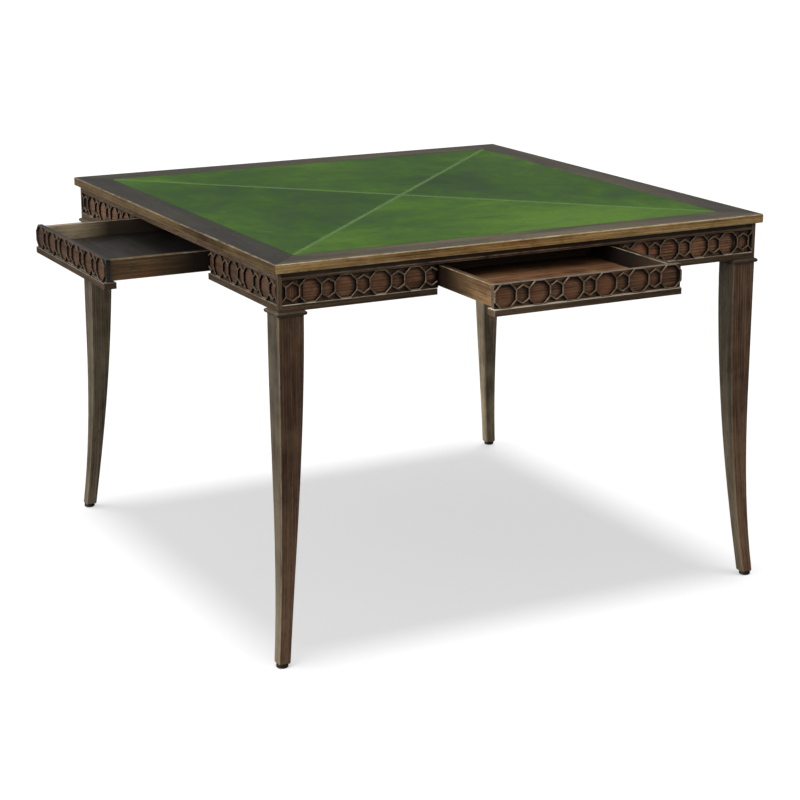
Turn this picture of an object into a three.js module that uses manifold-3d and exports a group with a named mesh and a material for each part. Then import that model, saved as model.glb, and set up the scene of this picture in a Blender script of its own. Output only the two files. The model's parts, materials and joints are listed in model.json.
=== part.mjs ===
// Square gaming table: mitred top with an inset leather surface in four triangular panels,
// fretwork aprons on four sabre legs, and one drawer in the middle of each side.
// Millimetres, +Z up. The front side faces -Y. The front and left drawers stand open.

import * as THREE from "three";
import { mergeVertices } from "three/addons/utils/BufferGeometryUtils.js";
import Module from "manifold-3d";

// ---------------------------------------------------------------- driving dimensions

const GAP = 0.3;                    // fitting gap between neighbouring pieces

// Top
const TABLE_HEIGHT = 762;
const TOP_SIDE = 1066.8;
const TOP_THICKNESS = 18;
const BORDER_WIDTH = 65;            // wooden border around the leather
const LEATHER_THICKNESS = 1.5;
const LEATHER_SUNK = 0.3;           // how far the leather lies below the border

// Apron, all depths counted inwards from its outermost face
const TOP_OVERHANG = 9.9;
const APRON_HEIGHT = 72;
const APRON_BOARD_THICKNESS = 22.5;
const FACING_DEPTH = 4.5;           // stile, base moulding and top bead
const FRET_RECESS = 0.5;            // fret ribs lie this far behind the moulding
const FRIEZE_RECESS = 2;            // band above the top bead
const MOULDING_HEIGHT = 12.5;
const BEAD_HEIGHT = 4.5;
const STILE_WIDTH = 8;

// Fretwork: octagons on a fixed pitch with a hexagon between each two
const FRET_PITCH = 70.6;
const OCTAGON_FLATS = 44;           // between the middles of opposite ribs
const RIB_WIDTH = 2.6;
const HEXAGON_PEAK = 16.7;          // height of a hexagon's point above its centre
const DRAWER_OCTAGONS = 6;

// Legs
const LEG_TOP_WIDTH = 50.5;
const LEG_FOOT_WIDTH = 23.5;
const LEG_TOP_CORNER = 524;         // outer corner of the leg, from the table's centre lines
const LEG_FLARE = 18.5;             // how far the outer corner swings out at the floor
const FLARE_HEIGHT = 430;           // the leg is straight above this
const FLARE_POWER = 2.6;
const TAPER_POWER = 0.93;
const LEG_STEPS = 16;
const FOOT_CHAMFER = 1.6;
const COLLAR_HEIGHT = 8.5;
const COLLAR_PROUD = 4.5;
const COLLAR_ROUND = 3;             // depth of the collar's half-round edge
const COLLAR_STEPS = 6;
const POST_OVERLAP = 10;            // how far the post reaches down into the leg
const GLIDE_HEIGHT = 7;
const GLIDE_RADIUS = 11.45;
const GLIDE_CHAMFER = 1.5;

// Drawers
const OPENING_WIDTH = 402;
const FRONT_BOARD_WIDTH = 399;
const BOX_WIDTH = 391;
const FRONT_MOULDING_WIDTH = 400;
const FRONT_MOULDING_DEPTH = 25;
const FRONT_BOARD_THICKNESS = 10;
const FRONT_TOP_GAP = 0.8;
const SIDE_THICKNESS = 12;
const SIDE_DROP = 2.5;              // the box sides stand this far below the front's top
const SIDE_LIFT = 14.5;             // height of the box's lower edge above the moulding's
const BACK_THICKNESS = 10;
const BACK_DROP = 3;
const BOTTOM_THICKNESS = 5;
const BOTTOM_LIFT = 4;
const DRAWER_BACK_PLACE = 227;      // rear face of a closed drawer, from the table's centre
const FRONT_DRAWER_OUT = 206;
const LEFT_DRAWER_OUT = 209;

// Runner frames that carry the drawers
const RUNNER_CLEARANCE = 0.8;
const RUNNER_THICKNESS = 13.7;
const LEDGE_WIDTH = 12;
const LEDGE_HEIGHT = 8;
const RUNNER_INNER_END = 210.3;

// ---------------------------------------------------------------- derived places

const topHalf = TOP_SIDE / 2;
const leatherHalf = topHalf - BORDER_WIDTH;
const topUnderside = TABLE_HEIGHT - TOP_THICKNESS;
const faceOut = topHalf - TOP_OVERHANG;
const groundOut = faceOut - FACING_DEPTH;
const boardIn = groundOut - APRON_BOARD_THICKNESS;
const apronTop = topUnderside - GAP;
const apronFoot = topUnderside - APRON_HEIGHT;
const mouldingTop = apronFoot + MOULDING_HEIGHT;
const octagonReach = (OCTAGON_FLATS + RIB_WIDTH) / 2;
const fretMiddle = mouldingTop + OCTAGON_FLATS / 2 + 1;
const beadFoot = mouldingTop + OCTAGON_FLATS + 1.5;
const beadTop = beadFoot + BEAD_HEIGHT;
const postIn = LEG_TOP_CORNER - LEG_TOP_WIDTH;
const legAxis = LEG_TOP_CORNER - LEG_TOP_WIDTH / 2;
const glideAxis = LEG_TOP_CORNER + LEG_FLARE - LEG_FOOT_WIDTH / 2;
const footReach = glideAxis + GLIDE_RADIUS;
const openingHalf = OPENING_WIDTH / 2;
const frontTop = beadFoot - FRONT_TOP_GAP;
const frontHalf = FRONT_BOARD_WIDTH / 2;
const boxHalf = BOX_WIDTH / 2;
const boxFoot = apronFoot + SIDE_LIFT;
const boxTop = frontTop - SIDE_DROP;

// ---------------------------------------------------------------- materials

const finishes = {
  walnut: { color: 0x4a382a, roughness: 0.45, metalness: 0 },
  walnutEdge: { color: 0x5d452c, roughness: 0.42, metalness: 0 },
  ground: { color: 0x4b2f20, roughness: 0.55, metalness: 0 },
  drawerWood: { color: 0x4c3c2c, roughness: 0.6, metalness: 0 },
  innerWood: { color: 0x8a7250, roughness: 0.7, metalness: 0 },
  leather: { color: 0x2f7024, roughness: 0.4, metalness: 0 },
  glide: { color: 0x1b1816, roughness: 0.6, metalness: 0 },
};

function named(name, geometry, finish) {
  const mesh = new THREE.Mesh(geometry, new THREE.MeshStandardMaterial(finishes[finish]));
  mesh.name = name;
  return mesh;
}

// ---------------------------------------------------------------- solids

const wasm = await Module();
wasm.setup();

function solid(geometry) {
  const bare = geometry.index ? geometry.toNonIndexed() : geometry.clone();
  bare.deleteAttribute("normal");
  bare.deleteAttribute("uv");
  const merged = mergeVertices(bare, 1e-4);
  const mesh = new wasm.Mesh({
    numProp: 3,
    vertProperties: Float32Array.from(merged.attributes.position.array),
    triVerts: Uint32Array.from(merged.index.array),
  });
  return new wasm.Manifold(mesh);
}

function geometryOf(manifold) {
  const mesh = manifold.getMesh();
  const geometry = new THREE.BufferGeometry();
  geometry.setAttribute("position", new THREE.BufferAttribute(mesh.vertProperties, 3));
  geometry.setIndex(new THREE.BufferAttribute(mesh.triVerts, 1));
  const faceted = geometry.toNonIndexed();
  faceted.computeVertexNormals();
  return faceted;
}

function joined(geometries) {
  return geometries.map(solid).reduce((sum, next) => sum.add(next));
}

function inOrder(a, b) {
  return [Math.min(a, b), Math.max(a, b)];
}

// A box given by its lowest and highest corner.
function block(low, high) {
  const size = high.map((value, i) => value - low[i]);
  const middle = high.map((value, i) => (value + low[i]) / 2);
  return new THREE.BoxGeometry(...size).translate(...middle);
}

function outline(points) {
  return new THREE.Shape(points.map(([x, y]) => new THREE.Vector2(x, y)));
}

// An outline in plan, raised from one height to another.
function plate(points, foot, top) {
  const flat = new THREE.ExtrudeGeometry(outline(points), { depth: top - foot, bevelEnabled: false });
  return flat.translate(0, 0, foot);
}

// A convex outline, anticlockwise, with every edge moved outwards by the same distance.
function offset(points, distance) {
  const count = points.length;
  const edges = points.map(([x, y], i) => {
    const [nextX, nextY] = points[(i + 1) % count];
    const length = Math.hypot(nextX - x, nextY - y);
    const normal = [(nextY - y) / length, (x - nextX) / length];
    return { normal, reach: normal[0] * x + normal[1] * y + distance };
  });
  return edges.map((edge, i) => {
    const before = edges[(i + count - 1) % count];
    const cross = before.normal[0] * edge.normal[1] - before.normal[1] * edge.normal[0];
    return [
      (before.reach * edge.normal[1] - edge.reach * before.normal[1]) / cross,
      (edge.reach * before.normal[0] - before.reach * edge.normal[0]) / cross,
    ];
  });
}

// ---------------------------------------------------------------- top

// The front border rail: a mitred board along the front edge.
function borderRail() {
  const slack = GAP / Math.SQRT2;
  const points = [
    [-topHalf + slack, -topHalf],
    [topHalf - slack, -topHalf],
    [leatherHalf - slack, -leatherHalf],
    [-leatherHalf + slack, -leatherHalf],
  ];
  return plate(points, topUnderside, TABLE_HEIGHT);
}

function leatherPanel() {
  const half = leatherHalf - GAP / 2;
  const triangle = [[-half, -half], [half, -half], [0, 0]];
  const top = TABLE_HEIGHT - LEATHER_SUNK;
  return plate(offset(triangle, -GAP / 2), top - LEATHER_THICKNESS, top);
}

function topCore() {
  const half = leatherHalf - GAP;
  const top = TABLE_HEIGHT - LEATHER_SUNK - LEATHER_THICKNESS - GAP;
  return block([-half, -half, topUnderside], [half, half, top]);
}

// ---------------------------------------------------------------- legs

function legCorner(height) {
  const share = Math.max(0, 1 - height / FLARE_HEIGHT);
  return LEG_TOP_CORNER + LEG_FLARE * share ** FLARE_POWER;
}

function legWidth(height) {
  const share = Math.min(1, height / apronFoot) ** TAPER_POWER;
  return LEG_FOOT_WIDTH + (LEG_TOP_WIDTH - LEG_FOOT_WIDTH) * (1 - Math.cos(Math.PI * share)) / 2;
}

// The front left leg: a square section that tapers and swings out to the corner, with a
// post above it that stands behind the facings.
function leg() {
  const foot = GLIDE_HEIGHT + GAP;
  const column = new THREE.BoxGeometry(1, 1, 1, 1, 1, LEG_STEPS + 1);
  const place = column.attributes.position;
  for (let i = 0; i < place.count; i += 1) {
    const level = Math.round((place.getZ(i) + 0.5) * (LEG_STEPS + 1));
    const climb = Math.max(0, level - 1) / LEG_STEPS;
    const height = foot + FOOT_CHAMFER * Math.min(1, level) + (apronFoot - foot - FOOT_CHAMFER) * climb;
    const inset = level === 0 ? FOOT_CHAMFER : 0;
    const outer = legCorner(height) - inset;
    const inner = legCorner(height) - legWidth(height) + inset;
    place.setXYZ(i, place.getX(i) < 0 ? -outer : -inner, place.getY(i) < 0 ? -outer : -inner, height);
  }
  const post = block([-groundOut, -groundOut, apronFoot - POST_OVERLAP], [-postIn, -postIn, apronTop]);
  return geometryOf(joined([column, post]));
}

// A square ring with a half-round outer face, wrapped round the top of the leg.
function collar() {
  const inner = LEG_TOP_WIDTH / 2 + GAP;
  const outer = LEG_TOP_WIDTH / 2 + COLLAR_PROUD;
  const half = (COLLAR_HEIGHT - 2 * GAP) / 2;
  const straight = outer - COLLAR_ROUND;
  const points = [[inner, -half]];
  for (let step = 0; step <= COLLAR_STEPS; step += 1) {
    const angle = (step / COLLAR_STEPS - 0.5) * Math.PI;
    points.push([straight + COLLAR_ROUND * Math.cos(angle), half * Math.sin(angle)]);
  }
  points.push([inner, half], [inner, -half]);
  const profile = points.map(([reach, height]) => new THREE.Vector2(reach * Math.SQRT2, height));
  const ring = new THREE.LatheGeometry(profile, 4);
  ring.rotateX(Math.PI / 2).rotateZ(Math.PI / 4);
  return ring.translate(-legAxis, -legAxis, apronFoot - COLLAR_HEIGHT / 2);
}

function glide() {
  const points = [
    [0, 0], [GLIDE_RADIUS - GLIDE_CHAMFER, 0], [GLIDE_RADIUS, GLIDE_CHAMFER],
    [GLIDE_RADIUS, GLIDE_HEIGHT], [0, GLIDE_HEIGHT],
  ];
  const disc = new THREE.LatheGeometry(points.map(([r, h]) => new THREE.Vector2(r, h)), 20);
  return disc.rotateX(Math.PI / 2).translate(-glideAxis, -glideAxis, 0);
}

// ---------------------------------------------------------------- fretwork

function ring(points) {
  const shape = outline(offset(points, RIB_WIDTH / 2));
  shape.holes.push(new THREE.Path(outline(offset(points, -RIB_WIDTH / 2)).getPoints()));
  return shape;
}

function octagon(middle) {
  const reach = OCTAGON_FLATS / 2 / Math.cos(Math.PI / 8);
  return Array.from({ length: 8 }, (_, i) => {
    const angle = (i + 0.5) * Math.PI / 4;
    return [middle + reach * Math.cos(angle), reach * Math.sin(angle)];
  });
}

function hexagon(middle) {
  const half = (FRET_PITCH - OCTAGON_FLATS) / 2;
  const shoulder = (OCTAGON_FLATS / 2) * Math.tan(Math.PI / 8);
  return [
    [middle + half, shoulder], [middle, HEXAGON_PEAK], [middle - half, shoulder],
    [middle - half, -shoulder], [middle, -HEXAGON_PEAK], [middle + half, -shoulder],
  ];
}

// Rings standing upright against the front ground, from one place along the side to another.
function lattice(from, to, foot, top) {
  const back = -groundOut - GAP;
  const front = -faceOut + FRET_RECESS;
  const rings = [];
  const firstCell = Math.floor(from / FRET_PITCH) - 1;
  const lastCell = Math.ceil(to / FRET_PITCH) + 1;
  for (let cell = firstCell; cell <= lastCell; cell += 1) {
    for (const points of [octagon((cell + 0.5) * FRET_PITCH), hexagon(cell * FRET_PITCH)]) {
      const across = points.map(([x]) => x);
      const ends = Math.max(...across) - RIB_WIDTH / 2 > from;
      const starts = Math.min(...across) + RIB_WIDTH / 2 < to;
      if (!ends || !starts) continue;
      const raised = new THREE.ExtrudeGeometry(ring(points), { depth: back - front, bevelEnabled: false });
      rings.push(raised.rotateX(Math.PI / 2).translate(0, back, fretMiddle));
    }
  }
  return joined(rings).intersect(solid(block([from, front - 1, foot], [to, back + 1, top])));
}

// ---------------------------------------------------------------- apron

// The front apron board, with a notch for the drawer in its lower edge.
function apronBoard() {
  const half = postIn - GAP;
  const points = [
    [-half, apronFoot], [-openingHalf, apronFoot], [-openingHalf, beadFoot], [openingHalf, beadFoot],
    [openingHalf, apronFoot], [half, apronFoot], [half, apronTop], [-half, apronTop],
  ];
  const options = { depth: APRON_BOARD_THICKNESS, bevelEnabled: false };
  const board = new THREE.ExtrudeGeometry(outline(points), options);
  return board.rotateX(Math.PI / 2).translate(0, -boardIn, 0);
}

// The carved facing of the front apron: base moulding, corner stiles, top bead and fretwork
// on both sides of the drawer, mitred at the table's corners.
function apronFacing() {
  const back = -groundOut - GAP;
  const front = -faceOut;
  const pieces = [
    block([-faceOut, front, beadFoot], [faceOut, back, beadTop]),
    block([-faceOut, front + FRIEZE_RECESS, beadTop - 1], [faceOut, back, apronTop]),
  ];
  for (const [inner, outer] of [[openingHalf, faceOut], [-openingHalf, -faceOut]]) {
    const [low, high] = inOrder(inner, outer);
    const [stileLow, stileHigh] = inOrder(outer - Math.sign(outer) * STILE_WIDTH, outer);
    pieces.push(block([low, front, apronFoot], [high, back, mouldingTop]));
    pieces.push(block([stileLow, front, apronFoot], [stileHigh, back, apronTop]));
  }
  let facing = joined(pieces);
  const stileIn = faceOut - STILE_WIDTH + 1;
  facing = facing.add(lattice(openingHalf, stileIn, mouldingTop - 1, beadFoot + 1));
  facing = facing.add(lattice(-stileIn, -openingHalf, mouldingTop - 1, beadFoot + 1));
  const mitre = faceOut - GAP;
  const short = mitre - FACING_DEPTH - 2;
  const wedge = [[-mitre, front], [mitre, front], [short, -short - GAP], [-short, -short - GAP]];
  return geometryOf(facing.intersect(solid(plate(wedge, apronFoot - 1, apronTop + 1))));
}

// ---------------------------------------------------------------- drawers, closed at the front

// The front board and the base moulding that runs under it.
function drawerFront() {
  const boardBack = -groundOut + FRONT_BOARD_THICKNESS;
  const board = block([-frontHalf, -groundOut, mouldingTop - 1], [frontHalf, boardBack, frontTop]);
  const mouldingHalf = FRONT_MOULDING_WIDTH / 2;
  const mouldingBack = -faceOut + FRONT_MOULDING_DEPTH;
  const moulding = block([-mouldingHalf, -faceOut, apronFoot], [mouldingHalf, mouldingBack, mouldingTop]);
  return geometryOf(joined([board, moulding]));
}

function drawerFretwork() {
  const half = (DRAWER_OCTAGONS - 1) / 2 * FRET_PITCH + octagonReach;
  return geometryOf(lattice(-half, half, mouldingTop + GAP, frontTop));
}

const sideFront = -groundOut + FRONT_BOARD_THICKNESS + GAP;

function drawerSide(direction) {
  const [low, high] = inOrder(direction * boxHalf, direction * (boxHalf - SIDE_THICKNESS));
  return block([low, sideFront, boxFoot], [high, -DRAWER_BACK_PLACE, boxTop]);
}

function drawerBack() {
  const half = boxHalf - SIDE_THICKNESS - GAP;
  const inner = -DRAWER_BACK_PLACE - BACK_THICKNESS;
  return block([-half, inner, boxFoot], [half, -DRAWER_BACK_PLACE, boxTop - BACK_DROP]);
}

function drawerBottom() {
  const half = boxHalf - SIDE_THICKNESS - GAP;
  const foot = boxFoot + BOTTOM_LIFT;
  const rear = -DRAWER_BACK_PLACE - BACK_THICKNESS - GAP;
  return block([-half, sideFront, foot], [half, rear, foot + BOTTOM_THICKNESS]);
}

// ---------------------------------------------------------------- runner frame of the front drawer

// Two L-shaped runners with a ledge under each box side, joined by a cross rail that stops the
// closed drawer. The frame hangs from the underside of the top.
function runnerFrame() {
  const inner = boxHalf + RUNNER_CLEARANCE;
  const outer = inner + RUNNER_THICKNESS;
  const front = -boardIn + GAP;
  const end = -RUNNER_INNER_END;
  const ledgeTop = boxFoot - GAP;
  const pieces = [block([-outer, end - RUNNER_THICKNESS, ledgeTop - LEDGE_HEIGHT], [outer, end, apronTop])];
  for (const direction of [-1, 1]) {
    const [webLow, webHigh] = inOrder(direction * inner, direction * outer);
    const [ledgeLow, ledgeHigh] = inOrder(direction * (inner - LEDGE_WIDTH), direction * outer);
    pieces.push(block([webLow, front, ledgeTop - LEDGE_HEIGHT], [webHigh, end, apronTop]));
    pieces.push(block([ledgeLow, front, ledgeTop - LEDGE_HEIGHT], [ledgeHigh, end, ledgeTop]));
  }
  return geometryOf(joined(pieces));
}

// ---------------------------------------------------------------- assembly

const table = new THREE.Group();
table.add(named("top_core", topCore(), "innerWood"));

// Every side is the front side turned about the table's centre; out is how far its drawer stands open.
const sides = [
  { side: "front", turn: 0, corner: "front_left", out: FRONT_DRAWER_OUT },
  { side: "right", turn: 1, corner: "front_right", out: 0 },
  { side: "back", turn: 2, corner: "back_right", out: 0 },
  { side: "left", turn: 3, corner: "back_left", out: LEFT_DRAWER_OUT },
];

for (const { side, turn, corner, out } of sides) {
  const quarter = new THREE.Group();
  quarter.rotation.z = turn * Math.PI / 2;
  quarter.add(
    named(`top_rail_${side}`, borderRail(), "walnutEdge"),
    named(`leather_panel_${side}`, leatherPanel(), "leather"),
    named(`leg_${corner}`, leg(), "walnut"),
    named(`leg_collar_${corner}`, collar(), "walnut"),
    named(`foot_glide_${corner}`, glide(), "glide"),
    named(`apron_board_${side}`, apronBoard(), "ground"),
    named(`apron_facing_${side}`, apronFacing(), "walnut"),
    named(`runner_frame_${side}`, runnerFrame(), "innerWood"),
  );
  const drawer = new THREE.Group();
  drawer.position.y = -out;
  drawer.add(
    named(`drawer_${side}_front_board`, drawerFront(), "ground"),
    named(`drawer_${side}_fretwork`, drawerFretwork(), "walnut"),
    named(`drawer_${side}_side_left`, drawerSide(-1), "drawerWood"),
    named(`drawer_${side}_side_right`, drawerSide(1), "drawerWood"),
    named(`drawer_${side}_back`, drawerBack(), "drawerWood"),
    named(`drawer_${side}_bottom`, drawerBottom(), "drawerWood"),
  );
  quarter.add(drawer);
  table.add(quarter);
}

// The origin is on the floor, under the middle of the box that the open drawers take up.
table.position.set(
  (faceOut + LEFT_DRAWER_OUT - footReach) / 2,
  (faceOut + FRONT_DRAWER_OUT - footReach) / 2,
  0,
);
const gamingTable = new THREE.Group();
gamingTable.add(table);

export default gamingTable;
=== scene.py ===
"""Looks for the square gaming table: worn walnut, carved fretwork, a stitched green leather top.

Every length is in metres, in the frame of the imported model. The table's own centre isn't the
frame's origin, because two drawers stand open, so places are measured from the top's centre.
"""

import json
import math
import random

import bmesh
import bpy
import numpy as np
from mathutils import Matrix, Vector


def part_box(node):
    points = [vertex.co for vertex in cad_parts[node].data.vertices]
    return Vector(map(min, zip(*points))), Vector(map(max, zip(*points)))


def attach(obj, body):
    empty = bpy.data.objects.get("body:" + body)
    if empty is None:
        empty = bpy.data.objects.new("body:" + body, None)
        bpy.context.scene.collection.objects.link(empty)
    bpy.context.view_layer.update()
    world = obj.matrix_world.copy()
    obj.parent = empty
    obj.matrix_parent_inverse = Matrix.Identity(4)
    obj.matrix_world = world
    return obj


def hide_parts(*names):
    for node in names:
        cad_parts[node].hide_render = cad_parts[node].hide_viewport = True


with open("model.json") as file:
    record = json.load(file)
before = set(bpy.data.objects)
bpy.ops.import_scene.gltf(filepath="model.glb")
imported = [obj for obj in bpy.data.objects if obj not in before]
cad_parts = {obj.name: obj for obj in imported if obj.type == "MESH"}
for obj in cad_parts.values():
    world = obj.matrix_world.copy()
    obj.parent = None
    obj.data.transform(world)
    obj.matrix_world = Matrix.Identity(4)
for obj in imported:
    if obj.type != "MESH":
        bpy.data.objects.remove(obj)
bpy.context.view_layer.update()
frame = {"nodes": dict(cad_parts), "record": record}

# ---------------------------------------------------------------- places read from the frame

MM = 0.001

SIDES = ("front", "right", "back", "left")
CORNERS = ("front_left", "front_right", "back_right", "back_left")
OUTWARD = {
    "front": Vector((0, -1, 0)),
    "right": Vector((1, 0, 0)),
    "back": Vector((0, 1, 0)),
    "left": Vector((-1, 0, 0)),
}
UP = Vector((0, 0, 1))


def long_axis(side):
    """The axis along which a side of the table runs: 0 for X, 1 for Y."""
    return 0 if side in ("front", "back") else 1


# The direction along each side that leads away from the front left corner.
FAR_END = {side: OUTWARD["back" if long_axis(side) else "right"] for side in SIDES}


def middle_of(low_high):
    """The middle of a box given by its lowest and highest corners."""
    low, high = low_high
    return (low + high) / 2


CENTRE = middle_of(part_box("top_core"))
CENTRE.z = 0
LEATHER_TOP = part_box("leather_panel_front")[1].z
LEATHER_HALF = (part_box("top_rail_right")[0] - CENTRE).x
APRON_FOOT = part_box("apron_facing_front")[0].z
FACE_OUT = (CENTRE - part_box("apron_facing_front")[0]).y
MOULDING_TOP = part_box("drawer_front_fretwork")[0].z
FRIEZE_FOOT = APRON_FOOT + 62.5 * MM     # top of the bead above the fretwork
STILE_WIDTH = 8 * MM

BODY_OF_NODE = {
    node: body
    for body, nodes in frame["record"]["behaviour"]["bodies"].items()
    for node in nodes
}

chance = random.Random(42)

# ---------------------------------------------------------------- shader helpers

WHITE = (1, 1, 1, 1)

# The mix node's colour sockets, which share their names with its number sockets.
MIX_SHARE, MIX_FIRST, MIX_SECOND, MIX_RESULT = 0, 6, 7, 2


def linear(red, green, blue):
    """A colour given as 0 to 255 display values, as the linear colour a shader takes."""

    def one(value):
        share = value / 255
        return share / 12.92 if share <= 0.04045 else ((share + 0.055) / 1.055) ** 2.4

    return (one(red), one(green), one(blue), 1.0)


def scaled(colour, share):
    """A linear colour made lighter or darker."""
    return tuple(min(1.0, part * share) for part in colour[:3]) + (1.0,)


class Shader:
    """The node tree of a new material or world, with short calls for the nodes used here."""

    def __init__(self, owner):
        self.owner = owner
        owner.use_nodes = True
        self.tree = owner.node_tree
        self.tree.nodes.clear()

    def add(self, kind, inputs=None, **settings):
        """A new node. An input is a plain value or another node's output."""
        made = self.tree.nodes.new(kind)
        for key, value in settings.items():
            setattr(made, key, value)
        for key, value in (inputs or {}).items():
            if isinstance(value, bpy.types.NodeSocket):
                self.tree.links.new(value, made.inputs[key])
            else:
                made.inputs[key].default_value = value
        return made

    def math(self, operation, a, b):
        """Arithmetic on two numbers."""
        return self.add("ShaderNodeMath", {0: a, 1: b}, operation=operation).outputs[0]

    def plus(self, a, b):
        """The sum of two numbers."""
        return self.math("ADD", a, b)

    def times(self, a, b):
        """The product of two numbers."""
        return self.math("MULTIPLY", a, b)

    def vector(self, operation, a, b):
        """A new node for arithmetic on two vectors."""
        return self.add("ShaderNodeVectorMath", {0: a, 1: b}, operation=operation)

    def stored_vector(self, name):
        """A vector stored on the mesh."""
        settings = {"attribute_type": "GEOMETRY", "attribute_name": name}
        return self.add("ShaderNodeAttribute", **settings).outputs["Vector"]

    def stored_number(self, name):
        """A number stored on the mesh."""
        settings = {"attribute_type": "GEOMETRY", "attribute_name": name}
        return self.add("ShaderNodeAttribute", **settings).outputs["Fac"]

    def normal(self):
        """The direction in which the surface faces."""
        return self.add("ShaderNodeNewGeometry").outputs["Normal"]

    def stretched(self, vector, scale):
        """The vector with each of its coordinates scaled."""
        inputs = {"Vector": vector, "Scale": scale}
        return self.add("ShaderNodeMapping", inputs).outputs["Vector"]

    def noise(self, vector, scale, detail=3, roughness=0.55, distortion=0.0):
        """Soft random values from 0 to 1."""
        inputs = {
            "Vector": self.stretched(vector, scale),
            "Scale": 1.0,
            "Detail": detail,
            "Roughness": roughness,
            "Distortion": distortion,
        }
        return self.add("ShaderNodeTexNoise", inputs).outputs["Fac"]

    def bands(self, vector, scale, distortion, detail=3, detail_scale=1.0):
        """Wavy bands across the second coordinate."""
        inputs = {
            "Vector": self.stretched(vector, scale),
            "Scale": 1.0,
            "Distortion": distortion,
            "Detail": detail,
            "Detail Scale": detail_scale,
        }
        settings = {"wave_type": "BANDS", "bands_direction": "Y", "wave_profile": "SIN"}
        return self.add("ShaderNodeTexWave", inputs, **settings).outputs["Fac"]

    def cells(self, vector, scale, smoothness=None):
        """Distance to the nearest of many random points, evened out if smoothness is given."""
        inputs = {"Vector": self.stretched(vector, scale), "Scale": 1.0}
        if smoothness is None:
            made = self.add("ShaderNodeTexVoronoi", inputs, feature="F1")
        else:
            made = self.add("ShaderNodeTexVoronoi", inputs, feature="SMOOTH_F1")
            made.inputs["Smoothness"].default_value = smoothness
        return made.outputs["Distance"]

    def span(self, value, low, high, to_low=0.0, to_high=1.0):
        """Value moved from one range to another, and held within it."""
        inputs = {
            "Value": value,
            "From Min": low,
            "From Max": high,
            "To Min": to_low,
            "To Max": to_high,
        }
        return self.add("ShaderNodeMapRange", inputs, clamp=True).outputs["Result"]

    def blend(self, share, a, b):
        """Colour a turning into colour b as share goes from 0 to 1."""
        inputs = {MIX_SHARE: share, MIX_FIRST: a, MIX_SECOND: b}
        settings = {"data_type": "RGBA", "blend_type": "MIX", "clamp_factor": True}
        return self.add("ShaderNodeMix", inputs, **settings).outputs[MIX_RESULT]

    def ramp(self, value, stops):
        """A colour for each value, through a list of (place, colour)."""
        made = self.add("ShaderNodeValToRGB", {"Fac": value})
        marks = made.color_ramp.elements
        while len(marks) < len(stops):
            marks.new(0.5)
        for mark, (place, colour) in zip(marks, stops):
            mark.position = place
            mark.color = colour
        return made.outputs["Color"]

    def hollow(self, distance, low, high):
        """0 deep in a corner or groove, 1 on an open surface."""
        made = self.add("ShaderNodeAmbientOcclusion", {"Distance": distance}, samples=6)
        return self.span(made.outputs["AO"], low, high)

    def lee(self, towards, distance, low, high):
        """0 where something stands close on one side, in the direction towards, 1 elsewhere."""
        lean = self.vector("ADD", self.normal(), towards)
        unit = self.add("ShaderNodeVectorMath", {0: lean.outputs[0]}, operation="NORMALIZE")
        inputs = {"Distance": distance, "Normal": unit.outputs[0]}
        made = self.add("ShaderNodeAmbientOcclusion", inputs, samples=8)
        return self.span(made.outputs["AO"], low, high)

    def bump(self, height, distance, strength=1.0):
        """A surface normal that follows a height."""
        inputs = {"Height": height, "Distance": distance, "Strength": strength}
        return self.add("ShaderNodeBump", inputs).outputs["Normal"]

    def finish(self, inputs):
        """Ends a material's tree in one surface shader."""
        shader = self.add("ShaderNodeBsdfPrincipled", inputs)
        self.add("ShaderNodeOutputMaterial", {"Surface": shader.outputs["BSDF"]})
        return self.owner


def material_shader(name):
    """The shader of a new material."""
    return Shader(bpy.data.materials.new(name))


# ---------------------------------------------------------------- wood

# How fine each of wood's patterns is along, across and through a board. Higher is finer.
CLOUD_SCALE = (2.4, 13, 13)
STREAK_SCALE = (6, 170, 170)
FIBRE_SCALE = (45, 1300, 1300)
ARCH_SCALE = (3.2, 55, 55)
PATCH_SCALE = (16, 22, 22)
FLECK_SCALE = (60, 420, 420)
BLUSH_SCALE = (11, 17, 17)
RUBBED_SCALE = (38, 120, 120)
WEAR_RUN_SCALE = (1.7, 1.7, 1.7)

BLUSH = linear(140, 84, 54)
# Dark colours for the hollows, partly dirt and partly painted shade, and for the painted shadow in
# the carving.
DIRT_AND_SHADE = linear(10, 7, 5)
DIRT_AND_SHADE_REACH = 4.5 * MM
PAINTED_SHADOW_COLOUR = linear(9, 6, 4)
PAINTED_SHADE_SHARE = 0.15                  # how light the darkest tone stays where painted shade darkens a board
GRAIN_RELIEF = 0.22 * MM


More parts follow.
